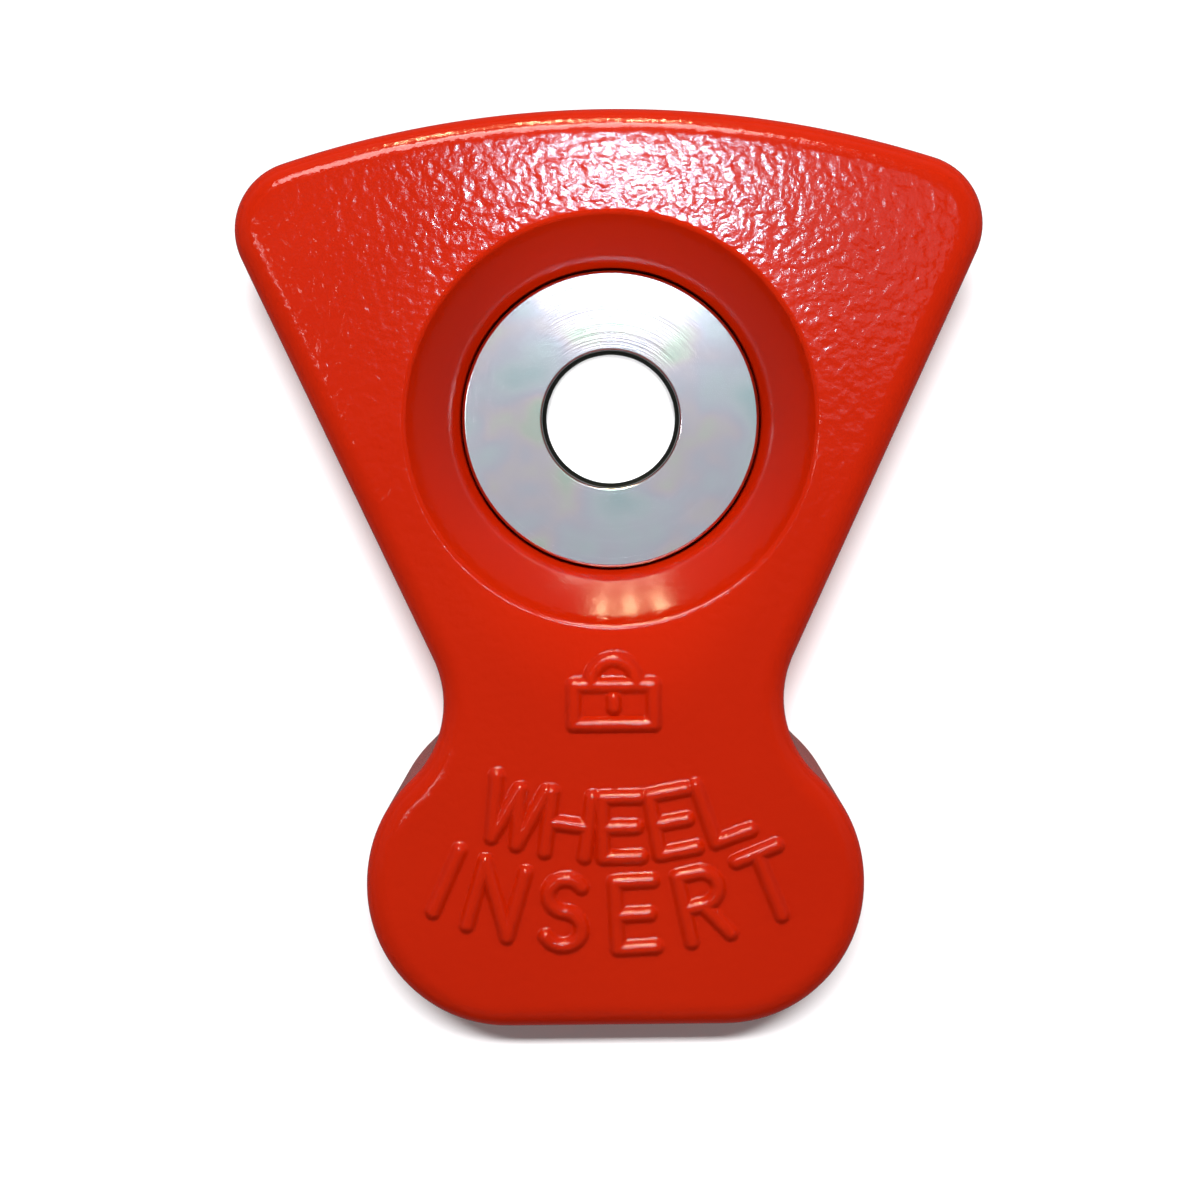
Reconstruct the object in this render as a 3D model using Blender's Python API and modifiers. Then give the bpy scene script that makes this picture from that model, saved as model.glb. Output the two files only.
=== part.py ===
"""Trailer wheel lock insert: a fan-shaped casting with a captive, free-spinning bolt bush.

The insert lies on its back. X runs across it, Y from its rounded foot to its broad top, and Z
out of its front face. The origin is on the floor under the middle of the outline. All driving
sizes are in millimetres, and scale() turns them into metres.
"""

import math

import bmesh
import bpy

MM = 0.001
GAP = 0.3                      # room left between pieces that touch

# Outline, measured from the bolt's axis
TOP = 47.0                     # crown of the top arc
BOTTOM = -92.0                 # flat foot
TOP_R = 160.0
CORNER_R = 10.5
FLANK_ANGLE = math.radians(25.0)
FLANK_X = 42.0                 # half width of the outline at FLANK_Y
FLANK_Y = -4.7
WAIST_R = 16.0
BULB_R = 21.4
BULB_X = 16.4
SHOULDER_Y = -70.2
FOOT_Y = BOTTOM + BULB_R
BOLT_Y = 0.5 * (BOTTOM + TOP) * -1.0   # the bolt's axis in the part's own frame

# Heights above the floor
RIM_Z = 2.0                    # rear rim of the casting
FACE_Z = 45.0                  # front face
PLATE_Z = (2.2, 4.7)           # back plate
SEAT_Z = 5.0                   # posts and boss that the back plate sits on
LEDGE_Z = 6.1                  # ledge that the gasket sits on
POCKET_Z = 37.5                # inner side of the front wall
SHOULDER_Z = 9.0               # rear shoulder that the bush's flange sits on
BEARING_Z = 24.7               # floor under the thrust washer
BOWL_Z = 31.9                  # bottom of the bowl
RING_Z = (26.5, 32.5)          # seat ring
SLEEVE_Z = (1.0, 29.2)

# Casting
FACE_FILLET = 3.8
REAR_CHAMFER = 1.0
RECESS_INSET = 3.5             # outline to the wall round the back plate
POCKET_INSET = 7.5             # outline to the wall of the rear pocket
BOWL_MOUTH_R = 31.5
BOWL_FOOT_R = 23.6
BOSS_R = 33.0
BOSS_REAR_R = 27.0
REAR_BORE_R = 21.0
BUSH_HOLE_R = 17.3
POST_R = 5.0

# Bush and its pieces
RING_R = 23.15
BORE_R = 10.75
BORE_CHAMFER = 0.35
SLEEVE_R = 14.5
SLEEVE_BORE_R = 10.9
GROOVE_R = 13.4
GROOVE_Z = (5.4, 7.4)
CIRCLIP_Z = (5.7, 7.1)
CIRCLIP_R = 17.2
CIRCLIP_ROOT_R = 13.7
LUG_R = 2.3
WASHER_Z = (25.0, 26.2)
WASHER_R = (15.4, 22.8)
FLANGE_R = 20.0
FLANGE_Z = (7.5, 8.7)
ARMOUR_Z = (31.2, 37.2)

# Fasteners and pads, placed from the bolt's axis on the right-hand side
SCREW_PLACES = ((44.1, 28.2), (14.1, -43.0), (23.0, -77.2))
SCREW_R = 2.5
SCREW_HEAD_R = 4.7
SCREW_TIP_Z = 17.0
PAD_PLACES = ((30.0, 24.0), (11.5, -60.5))
PAD_R = 9.0
PAD_NECK_R = 4.0

# Raised lettering and padlock sign on the front face
RELIEF_HEIGHT = 1.0
CAP_HEIGHT = 0.73              # height of a capital in the built-in font, over its size
LETTER_SWELL = 0.25            # how far each letter's outline is moved outwards
WORD_CENTRE_Y = -12.2          # centre of both lettering arcs
WORDS = (("WHEEL", 49.0, 9.9, 10.6), ("INSERT", 62.0, 8.7, 11.4))
SIGN_Y = -41.2
SIGN_WIDTH = 12.4
SIGN_HEIGHT = 12.4
SIGN_BODY = 7.4
SIGN_STROKE = 2.2
SHACKLE_R = 4.6

ROUND = 48                     # segments of a turned piece

COLLECTION = "trailer_wheel_lock_insert"


def scale(*values):
    return [v * MM for v in values]


def clear_scene():
    for ob in list(bpy.data.objects):
        bpy.data.objects.remove(ob)


def make_collection(name):
    made = bpy.data.collections.new(name)
    bpy.context.scene.collection.children.link(made)
    return made


def make_material(name, colour, roughness, metallic):
    made = bpy.data.materials.new(name)
    made.use_nodes = True
    shader = made.node_tree.nodes["Principled BSDF"]
    shader.inputs["Base Color"].default_value = (*colour, 1.0)
    shader.inputs["Roughness"].default_value = roughness
    shader.inputs["Metallic"].default_value = metallic
    return made


def arc(centre, radius, start, end, steps):
    """Points on an arc, both ends included, with the angles in radians."""
    turns = [start + (end - start) * i / steps for i in range(steps + 1)]
    return [(centre[0] + radius * math.cos(t), centre[1] + radius * math.sin(t)) for t in turns]


def corner_centre():
    """Centre of the corner arc, which touches the top arc and the flank from inside."""
    reach = TOP_R - CORNER_R
    offset = FLANK_X * math.cos(FLANK_ANGLE) - FLANK_Y * math.sin(FLANK_ANGLE) - CORNER_R
    start_x = offset / math.cos(FLANK_ANGLE)
    lean = math.tan(FLANK_ANGLE)
    drop = TOP_R - TOP
    a = 1.0 + lean * lean
    b = 2.0 * (start_x * lean + drop)
    c = start_x * start_x + drop * drop - reach * reach
    y = (-b + math.sqrt(b * b - 4.0 * a * c)) / (2.0 * a)
    return start_x + lean * y, y


def waist_centre():
    """Centre of the waist arc, which touches the flank and the shoulder arc from outside."""
    reach = WAIST_R + BULB_R
    offset = FLANK_X * math.cos(FLANK_ANGLE) - FLANK_Y * math.sin(FLANK_ANGLE) + WAIST_R
    start_x = offset / math.cos(FLANK_ANGLE) - BULB_X
    lean = math.tan(FLANK_ANGLE)
    a = 1.0 + lean * lean
    b = 2.0 * (start_x * lean - SHOULDER_Y)
    c = start_x * start_x + SHOULDER_Y * SHOULDER_Y - reach * reach
    y = (-b + math.sqrt(b * b - 4.0 * a * c)) / (2.0 * a)
    return start_x + BULB_X + lean * y, y


def outline(inset):
    """The closed outline, moved inwards by inset, in the part's own frame."""
    corner = corner_centre()
    waist = waist_centre()
    top_centre = (0.0, TOP - TOP_R)
    corner_turn = math.atan2(corner[1] - top_centre[1], corner[0])
    meet_turn = math.atan2(SHOULDER_Y - waist[1], BULB_X - waist[0]) + 2.0 * math.pi
    right = arc(top_centre, TOP_R - inset, 0.5 * math.pi, corner_turn, 5)
    right += arc(corner, CORNER_R - inset, corner_turn, -FLANK_ANGLE, 6)[1:]
    right += arc(waist, WAIST_R + inset, math.pi - FLANK_ANGLE, meet_turn, 7)
    right += arc((BULB_X, SHOULDER_Y), BULB_R - inset, meet_turn - math.pi, 0.0, 4)[1:]
    right += arc((BULB_X, FOOT_Y), BULB_R - inset, 0.0, -0.5 * math.pi, 8)
    left = [(-x, y) for x, y in reversed(right[1:])]
    return [(x, y + BOLT_Y) for x, y in right + left]


def from_curve(curve_object):
    """Turns a curve object into a mesh object at the same place, with its caps welded."""
    evaluated = curve_object.evaluated_get(bpy.context.evaluated_depsgraph_get())
    mesh = bpy.data.meshes.new_from_object(evaluated)
    shape = bmesh.new()
    shape.from_mesh(mesh)
    bmesh.ops.remove_doubles(shape, verts=shape.verts, dist=1e-6)
    flat = math.radians(0.05)
    bmesh.ops.dissolve_limit(shape, angle_limit=flat, verts=shape.verts, edges=shape.edges)
    bmesh.ops.recalc_face_normals(shape, faces=shape.faces)
    shape.to_mesh(mesh)
    shape.free()
    name = curve_object.name
    made = bpy.data.objects.new(name, mesh)
    made.matrix_world = curve_object.matrix_world
    bpy.data.objects.remove(curve_object)
    made.name = name
    return made


def prism(name, loops, low, high):
    """A flat outline, with any holes, made as thick as from low to high."""
    curve = bpy.data.curves.new(name, "CURVE")
    curve.dimensions = "2D"
    curve.fill_mode = "BOTH"
    curve.extrude = 0.5 * (high - low) * MM
    for loop in loops:
        spline = curve.splines.new("POLY")
        spline.points.add(len(loop) - 1)
        for point, (x, y) in zip(spline.points, loop):
            point.co = (x * MM, y * MM, 0.0, 1.0)
        spline.use_cyclic_u = True
    made = bpy.data.objects.new(name, curve)
    bpy.context.scene.collection.objects.link(made)
    made.location = scale(0.0, 0.0, 0.5 * (low + high))
    bpy.context.view_layer.update()
    return from_curve(made)


def turned(name, profile, closed, segments=ROUND):
    """A profile of (radius, height) points turned round the Z axis with a Screw modifier."""
    mesh = bpy.data.meshes.new(name)
    points = [(r * MM, 0.0, z * MM) for r, z in profile]
    edges = [(i, i + 1) for i in range(len(points) - 1)]
    if closed:
        edges.append((len(points) - 1, 0))
    mesh.from_pydata(points, edges, [])
    made = bpy.data.objects.new(name, mesh)
    screw = made.modifiers.new("turn", "SCREW")
    screw.steps = segments
    screw.render_steps = segments
    screw.use_merge_vertices = True
    screw.merge_threshold = 0.00001
    screw.use_smooth_shade = True
    return made


def cylinder(name, radius, low, high, segments=24):
    return turned(name, [(0.0, high), (radius, high), (radius, low), (0.0, low)], False, segments)


def block(name, low, high):
    """A box between two corners, from a primitive cube."""
    mesh = bpy.data.meshes.new(name)
    shape = bmesh.new()
    bmesh.ops.create_cube(shape, size=1.0)
    size = [(b - a) * MM for a, b in zip(low, high)]
    bmesh.ops.scale(shape, vec=size, verts=shape.verts)
    middle = [0.5 * (a + b) * MM for a, b in zip(low, high)]
    bmesh.ops.translate(shape, vec=middle, verts=shape.verts)
    shape.to_mesh(mesh)
    shape.free()
    return bpy.data.objects.new(name, mesh)


def on_bolt_axis(ob):
    ob.location = scale(0.0, BOLT_Y, 0.0)
    return ob


def at(ob, place):
    ob.location = scale(place[0], place[1] + BOLT_Y, 0.0)
    return ob


def both_sides(places):
    return [(side * x, y) for x, y in places for side in (1.0, -1.0)]


def keep_as_cutter(ob):
    if ob.name not in cutters.objects:
        cutters.objects.link(ob)
    ob.hide_render = True
    ob.display_type = "WIRE"
    return ob


def combine(ob, tool, operation):
    keep_as_cutter(tool)
    step = ob.modifiers.new(operation.lower() + "_" + tool.name, "BOOLEAN")
    step.operation = operation
    step.solver = "EXACT"
    step.object = tool


def cut(ob, tool):
    combine(ob, tool, "DIFFERENCE")


def weld(ob):
    """Merges the points that a cut leaves less than a few microns apart."""
    step = ob.modifiers.new("weld_" + str(len(ob.modifiers)), "WELD")
    step.merge_threshold = 0.000004


def finish(ob, material):
    """Puts a finished piece in the parts' collection, shaded smooth between its sharp edges."""
    parts.objects.link(ob)
    ob.data.materials.clear()
    ob.data.materials.append(material)
    if ob.data.polygons:
        ob.data.shade_smooth()
        ob.data.set_sharp_from_angle(angle=math.radians(30.0))
    return ob


def round_group(ob, group_name, height, width, segments):
    """Bevels the edges of an extruded outline that lie at one height."""
    group = ob.vertex_groups.new(name=group_name)
    middle = ob.location.z
    chosen = [v.index for v in ob.data.vertices if abs(v.co.z + middle - height * MM) < 1e-6]
    group.add(chosen, 1.0, "REPLACE")
    bevel = ob.modifiers.new(group_name, "BEVEL")
    bevel.limit_method = "VGROUP"
    bevel.vertex_group = group_name
    bevel.width = width * MM
    bevel.segments = segments
    bevel.use_clamp_overlap = False


def make_letter(tag, letter, turn, radius, height):
    """A raised block letter whose middle lies on a lettering arc, leaning towards its centre."""
    curve = bpy.data.curves.new(tag, "FONT")
    curve.body = letter
    curve.size = height / CAP_HEIGHT * MM
    curve.align_x = "CENTER"
    curve.resolution_u = 2
    curve.offset = LETTER_SWELL * MM
    curve.extrude = RELIEF_HEIGHT * MM
    made = bpy.data.objects.new(tag, curve)
    bpy.context.scene.collection.objects.link(made)
    base = radius + 0.5 * height
    x = base * math.sin(turn)
    y = WORD_CENTRE_Y - base * math.cos(turn)
    made.location = scale(x, y + BOLT_Y, FACE_Z)
    made.rotation_euler.z = turn
    bpy.context.view_layer.update()
    return from_curve(made)


def make_padlock_sign():
    """A raised padlock sign: body and shackle in one outline, with the shackle's eye open."""
    low = SIGN_Y - 0.5 * SIGN_HEIGHT + BOLT_Y
    high = low + SIGN_BODY
    crown = low + SIGN_HEIGHT - SHACKLE_R
    half = 0.5 * SIGN_WIDTH
    eye_r = SHACKLE_R - SIGN_STROKE
    outer = [(-half, high), (-half, low), (half, low), (half, high), (SHACKLE_R, high)]
    outer += arc((0.0, crown), SHACKLE_R, 0.0, math.pi, 8) + [(-SHACKLE_R, high)]
    eye = [(-eye_r, high), (eye_r, high)] + arc((0.0, crown), eye_r, 0.0, math.pi, 6)
    return prism("padlock_sign", [outer, eye], FACE_Z - RELIEF_HEIGHT, FACE_Z + RELIEF_HEIGHT)


def add_relief(casting):
    for word, radius, pitch, height in WORDS:
        for index, letter in enumerate(word):
            turn = math.radians(pitch * (index - 0.5 * (len(word) - 1)))
            tag = "_".join(("letter", word.lower(), str(index + 1)))
            combine(casting, make_letter(tag, letter, turn, radius, height), "UNION")
    combine(casting, make_padlock_sign(), "UNION")


def make_pocket():
    """The hollow behind the front wall, less the boss and the screw posts that stand in it."""
    pocket = prism("pocket_cutter", [outline(POCKET_INSET)], RIM_Z - 1.0, POCKET_Z)
    recess = prism("recess_cutter", [outline(RECESS_INSET)], RIM_Z - 1.2, LEDGE_Z)
    combine(pocket, recess, "UNION")
    boss_profile = [
        (0.0, POCKET_Z + 1.0), (BOSS_R, POCKET_Z + 1.0), (BOSS_R, 24.0),
        (BOSS_REAR_R, 18.0), (BOSS_REAR_R, SEAT_Z), (0.0, SEAT_Z),
    ]
    cut(pocket, on_bolt_axis(turned("boss_shape", boss_profile, False)))
    for number, place in enumerate(both_sides(SCREW_PLACES), 1):
        post = cylinder("post_shape_" + str(number), POST_R, SEAT_Z, POCKET_Z + 1.0, 16)
        cut(pocket, at(post, place))
    return pocket


def make_housing_cutter():
    """Bowl, ring seat, washer seat, bush hole and rear bore, turned as one cutter."""
    profile = [
        (0.0, FACE_Z + 1.0), (BOWL_MOUTH_R + 0.6, FACE_Z + 1.0), (BOWL_MOUTH_R + 0.6, FACE_Z + 0.001),
        (BOWL_MOUTH_R, FACE_Z - 0.4), (BOWL_FOOT_R, BOWL_Z), (BOWL_FOOT_R, BEARING_Z),
        (BUSH_HOLE_R, BEARING_Z), (BUSH_HOLE_R, SHOULDER_Z), (REAR_BORE_R, SHOULDER_Z),
        (REAR_BORE_R, RIM_Z - 1.0), (0.0, RIM_Z - 1.0),
    ]
    return on_bolt_axis(turned("housing_cutter", profile, False))


def make_casting(material):
    casting = prism("body_casting", [outline(0.0)], RIM_Z, FACE_Z)
    round_group(casting, "face_fillet", FACE_Z, FACE_FILLET, 4)
    round_group(casting, "rear_chamfer", RIM_Z, REAR_CHAMFER, 1)
    cut(casting, make_housing_cutter())
    cut(casting, make_pocket())
    weld(casting)
    for number, place in enumerate(both_sides(SCREW_PLACES), 1):
        tap = cylinder("tapping_cutter_" + str(number), SCREW_R + GAP, SEAT_Z - 1.0, SCREW_TIP_Z + 1.0, 16)
        cut(casting, at(tap, place))
    weld(casting)
    add_relief(casting)
    weld(casting)
    return finish(casting, material)


def make_armour(name, low_y, high_y, material):
    """A hardened plate behind the front wall, cut clear of the boss and the screw posts."""
    plate = prism(name, [outline(POCKET_INSET + 0.5)], *ARMOUR_Z)
    low, high = ARMOUR_Z[0] - 1.0, ARMOUR_Z[1] + 1.0
    if high_y < TOP:
        cut(plate, block(name + "_above", (-80.0, high_y + BOLT_Y, low), (80.0, TOP + BOLT_Y + 5.0, high)))
    if low_y > BOTTOM:
        cut(plate, block(name + "_below", (-80.0, BOTTOM + BOLT_Y - 5.0, low), (80.0, low_y + BOLT_Y, high)))
    cut(plate, on_bolt_axis(cylinder(name + "_boss_hole", BOSS_R + 0.4, low, high, ROUND)))
    for number, place in enumerate(both_sides(SCREW_PLACES), 1):
        if low_y < place[1] < high_y:
            hole = cylinder(name + "_post_hole_" + str(number), POST_R + 0.4, low, high, 16)
            cut(plate, at(hole, place))
    return finish(plate, material)


def make_back_plate(material):
    plate = prism("back_plate", [outline(RECESS_INSET + 0.35)], *PLATE_Z)
    low, high = PLATE_Z[0] - 1.0, PLATE_Z[1] + 1.0
    cut(plate, on_bolt_axis(cylinder("back_plate_hole", REAR_BORE_R, low, high, ROUND)))
    mouth_r = SCREW_HEAD_R + GAP
    sink = [
        (0.0, high), (SCREW_R + 0.4, high), (SCREW_R + 0.4, PLATE_Z[1] - 0.2),
        (mouth_r, PLATE_Z[0] + 0.35), (mouth_r, low), (0.0, low),
    ]
    for number, place in enumerate(both_sides(SCREW_PLACES), 1):
        cut(plate, at(turned("countersink_" + str(number), sink, False, 16), place))
    for number, place in enumerate(both_sides(PAD_PLACES), 1):
        hole = cylinder("pad_hole_" + str(number), PAD_NECK_R + GAP, low, high, 16)
        cut(plate, at(hole, place))
    return finish(plate, material)


def make_gasket(material):
    loops = [outline(RECESS_INSET + 0.4), outline(POCKET_INSET - 0.9)]
    return finish(prism("back_gasket", loops, PLATE_Z[1] + GAP, LEDGE_Z - GAP), material)


def make_screw(name, place, material):
    """A countersunk screw with a hexagon socket."""
    head_z = PLATE_Z[0] + 0.15
    profile = [
        (0.0, SCREW_TIP_Z), (SCREW_R - 0.6, SCREW_TIP_Z), (SCREW_R, SCREW_TIP_Z - 0.6),
        (SCREW_R, PLATE_Z[1] - 0.1), (SCREW_HEAD_R, head_z + 0.3), (SCREW_HEAD_R, head_z), (0.0, head_z),
    ]
    screw = at(turned(name, profile, False, 16), place)
    socket = cylinder(name + "_socket", 1.75, head_z - 1.0, head_z + 1.6, 6)
    cut(screw, at(socket, place))
    return finish(screw, material)


def make_pad(name, place, material):
    """A rubber button: a head that rests on the wheel, a neck and a snap-in bead."""
    bead_z = PLATE_Z[1] + GAP
    head_z = PLATE_Z[0] - GAP
    profile = [
        (0.0, bead_z + 2.2), (3.2, bead_z + 2.2), (5.0, bead_z + 0.6), (5.0, bead_z),
        (PAD_NECK_R, bead_z), (PAD_NECK_R, head_z), (PAD_R, head_z), (PAD_R, 0.7),
        (PAD_R - 0.7, 0.0), (0.0, 0.0),
    ]
    return finish(at(turned(name, profile, False, 24), place), material)


def make_seat_ring(material):
    low, high = RING_Z
    socket_r = SLEEVE_R + GAP
    socket_z = SLEEVE_Z[1] + GAP
    profile = [
        (BORE_R + BORE_CHAMFER, high), (RING_R - 0.4, high), (RING_R, high - 0.4), (RING_R, low + 0.4),
        (RING_R - 0.4, low), (socket_r, low), (socket_r, socket_z), (BORE_R, socket_z),
        (BORE_R, high - BORE_CHAMFER),
    ]
    return finish(on_bolt_axis(turned("seat_ring", profile, True)), material)


def make_sleeve(material):
    low, high = SLEEVE_Z
    profile = [
        (SLEEVE_BORE_R + 0.4, high), (SLEEVE_R - 0.4, high), (SLEEVE_R, high - 0.4),
        (SLEEVE_R, GROOVE_Z[1]), (GROOVE_R, GROOVE_Z[1]), (GROOVE_R, GROOVE_Z[0]),
        (SLEEVE_R, GROOVE_Z[0]), (SLEEVE_R, low + 0.8), (SLEEVE_R - 0.8, low),
        (SLEEVE_BORE_R + 0.4, low), (SLEEVE_BORE_R, low + 0.4), (SLEEVE_BORE_R, high - 0.4),
    ]
    return finish(on_bolt_axis(turned("bore_sleeve", profile, True)), material)


def make_bush(material):
    outer = BUSH_HOLE_R - GAP
    inner = SLEEVE_R + GAP
    profile = [
        (inner, BEARING_Z - GAP), (outer, BEARING_Z - GAP), (outer, FLANGE_Z[1]), (FLANGE_R, FLANGE_Z[1]),
        (FLANGE_R, FLANGE_Z[0]), (inner, FLANGE_Z[0]),
    ]
    return finish(on_bolt_axis(turned("bearing_bush", profile, True)), material)


def make_thrust_washer(material):
    low, high = WASHER_Z
    profile = [(WASHER_R[0], high), (WASHER_R[1], high), (WASHER_R[1], low), (WASHER_R[0], low)]
    return finish(on_bolt_axis(turned("thrust_washer", profile, True)), material)


def make_circlip(material):
    """An external retaining ring: an open ring that thickens away from its two drilled lugs."""
    opening = math.radians(13.0)
    rim = arc((0.0, 0.0), CIRCLIP_R, 0.5 * math.pi + opening, 2.5 * math.pi - opening, 30)
    root = arc((0.0, 0.0), CIRCLIP_ROOT_R, 2.5 * math.pi - opening, 0.5 * math.pi + opening, 30)
    ring = prism("retaining_ring", [rim + root], *CIRCLIP_Z)
    middle = CIRCLIP_ROOT_R + LUG_R + 0.2
    for side in (1.0, -1.0):
        turn = opening + math.radians(1.5)
        place = (side * middle * math.sin(turn), middle * math.cos(turn))
        tag = "right" if side > 0.0 else "left"
        lug = cylinder("lug_" + tag, LUG_R, CIRCLIP_Z[0] - 0.1, CIRCLIP_Z[1] + 0.1, 12)
        hole = cylinder("lug_hole_" + tag, 0.9, CIRCLIP_Z[0] - 1.0, CIRCLIP_Z[1] + 1.0, 8)
        for tool, operation in ((lug, "UNION"), (hole, "DIFFERENCE")):
            at(tool, place)
            combine(ring, tool, operation)
    on_bolt_axis(ring)
    ring.location.z = 0.5 * (CIRCLIP_Z[0] + CIRCLIP_Z[1]) * MM
    return finish(ring, material)


def ride_on(pieces, carrier_name):
    """Parents pieces to an empty on the bolt's axis, which is the bush's axis of turning."""
    carrier = bpy.data.objects.new(carrier_name, None)
    parts.objects.link(carrier)
    carrier.location = scale(0.0, BOLT_Y, 0.0)
    bpy.context.view_layer.update()
    for piece in pieces:
        piece.parent = carrier
        piece.matrix_parent_inverse = carrier.matrix_world.inverted()


clear_scene()
parts = make_collection(COLLECTION)
cutters = make_collection("cutters")

red_paint = make_material("red_paint", (0.60, 0.025, 0.008), 0.35, 0.0)
zinc_plate = make_material("zinc_plate", (0.62, 0.66, 0.68), 0.28, 1.0)
hard_steel = make_material("hard_steel", (0.30, 0.30, 0.31), 0.45, 1.0)
dark_steel = make_material("dark_steel", (0.12, 0.12, 0.13), 0.40, 1.0)
bronze = make_material("bronze", (0.55, 0.36, 0.16), 0.40, 1.0)
black_rubber = make_material("black_rubber", (0.02, 0.02, 0.02), 0.80, 0.0)

make_casting(red_paint)
make_armour("upper_armour_plate", 8.0, TOP, hard_steel)
make_armour("lower_armour_plate", BOTTOM, -36.0, hard_steel)
make_back_plate(zinc_plate)
make_gasket(black_rubber)
for screw_number, screw_place in enumerate(both_sides(SCREW_PLACES), 1):
    make_screw("back_screw_" + str(screw_number), screw_place, dark_steel)
for pad_number, pad_place in enumerate(both_sides(PAD_PLACES), 1):
    make_pad("wheel_pad_" + str(pad_number), pad_place, black_rubber)
make_bush(bronze)
make_thrust_washer(bronze)
spinning = [make_seat_ring(zinc_plate), make_sleeve(hard_steel), make_circlip(dark_steel)]
ride_on(spinning, "bush_axis")
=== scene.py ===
import math

import bpy
import numpy as np
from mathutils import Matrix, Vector


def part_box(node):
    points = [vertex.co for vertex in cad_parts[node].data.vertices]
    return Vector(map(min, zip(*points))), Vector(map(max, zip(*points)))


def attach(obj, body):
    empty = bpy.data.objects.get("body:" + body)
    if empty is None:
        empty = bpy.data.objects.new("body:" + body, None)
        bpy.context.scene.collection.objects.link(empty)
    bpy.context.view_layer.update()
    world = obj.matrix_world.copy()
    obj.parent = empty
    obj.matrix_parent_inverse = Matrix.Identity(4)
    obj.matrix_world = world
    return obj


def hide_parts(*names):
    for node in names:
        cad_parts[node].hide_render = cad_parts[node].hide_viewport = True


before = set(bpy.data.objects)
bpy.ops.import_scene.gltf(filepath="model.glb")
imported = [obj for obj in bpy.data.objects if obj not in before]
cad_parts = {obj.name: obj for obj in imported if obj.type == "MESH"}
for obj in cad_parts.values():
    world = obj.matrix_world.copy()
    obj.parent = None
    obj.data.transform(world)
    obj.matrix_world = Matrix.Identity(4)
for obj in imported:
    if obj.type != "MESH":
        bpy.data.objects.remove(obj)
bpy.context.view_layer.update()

mm = 0.001
fixedBody = "insert_body"
spinBody = "spinning_bush"

castLow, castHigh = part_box("body_casting")
ringLow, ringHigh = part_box("seat_ring")
boltX, boltY = 0.5 * (ringLow.x + ringHigh.x), 0.5 * (ringLow.y + ringHigh.y)
footY = castLow.y - boltY        # the flat foot and the crown, from the bolt's axis
crownY = castHigh.y - boltY

reliefHeight = 1.0 * mm
faceZ = castHigh.z - reliefHeight
rimZ = castLow.z
past = 1.0 * mm                  # how far a cutting tool runs past what it cuts


# ---- tools for every piece ----

def toObjectMode():
    if bpy.context.object and bpy.context.object.mode != "OBJECT":
        bpy.ops.object.mode_set(mode="OBJECT")


def pick(*pieces):
    toObjectMode()
    bpy.ops.object.select_all(action="DESELECT")
    for piece in pieces:
        piece.select_set(True)
    bpy.context.view_layer.objects.active = pieces[0]


def startAt(name, point):
    # a plane merged to one point, which the pen below draws on from
    toObjectMode()
    bpy.ops.object.select_all(action="DESELECT")
    bpy.ops.mesh.primitive_plane_add(size=mm, location=(0, 0, 0))
    piece = bpy.context.object
    piece.name = name
    piece.data.name = name
    bpy.ops.object.mode_set(mode="EDIT")
    bpy.ops.mesh.select_mode(type="VERT")
    bpy.ops.mesh.select_all(action="SELECT")
    bpy.ops.mesh.merge(type="CENTER")
    bpy.ops.transform.translate(value=point)
    return piece


def drawTo(here, there):
    step = Vector(there) - Vector(here)
    bpy.ops.mesh.extrude_region_move(TRANSFORM_OT_translate={"value": step})


def spinAround(centre, angle, steps):
    bpy.ops.mesh.spin(steps=steps, angle=angle, center=centre, axis=(0, 0, 1))


def tidyMesh(piece, mergeAt=0.002 * mm):
    # closes seams and poles, and turns the faces outwards
    pick(piece)
    bpy.ops.object.mode_set(mode="EDIT")
    bpy.ops.mesh.select_all(action="SELECT")
    bpy.ops.mesh.remove_doubles(threshold=mergeAt)
    bpy.ops.mesh.normals_make_consistent(inside=False)
    bpy.ops.object.mode_set(mode="OBJECT")


def applyAll(piece):
    pick(piece)
    for modifier in list(piece.modifiers):
        bpy.ops.object.modifier_apply(modifier=modifier.name)


def cutWith(piece, tool, operation="DIFFERENCE"):
    step = piece.modifiers.new("cut", "BOOLEAN")
    step.operation = operation
    step.solver = "EXACT"
    step.object = tool
    applyAll(piece)
    bpy.data.objects.remove(tool)


def smooth(piece, angle=32):
    # large flats and cones keep their own shading; the small roundings beside them take the change
    pick(piece)
    bpy.ops.object.shade_smooth_by_angle(angle=math.radians(angle))
    step = piece.modifiers.new("weigh", "WEIGHTED_NORMAL")
    step.weight = 100
    step.keep_sharp = True
    applyAll(piece)


# profile points run down the outer side and back up the inner side, as (radius, height)
def turn(name, points, centre, steps, closed=True):
    start = (centre[0] + points[0][0], centre[1], points[0][1])
    piece = startAt(name, start)
    here = start
    rest = points[1:] + (points[:1] if closed else [])
    for radius, height in rest:
        there = (centre[0] + radius, centre[1], height)
        drawTo(here, there)
        here = there
    bpy.ops.mesh.select_all(action="SELECT")
    spinAround((centre[0], centre[1], 0), 2 * math.pi, steps)
    tidyMesh(piece)
    return piece


def disc(name, place, radius, low, high, sides=64):
    points = [(0, high), (radius, high), (radius, low), (0, low)]
    return turn(name, points, place, sides, closed=False)


print("frame loaded, cast body", [round(v, 4) for v in castHigh - castLow])


# ---- the casting ----

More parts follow.
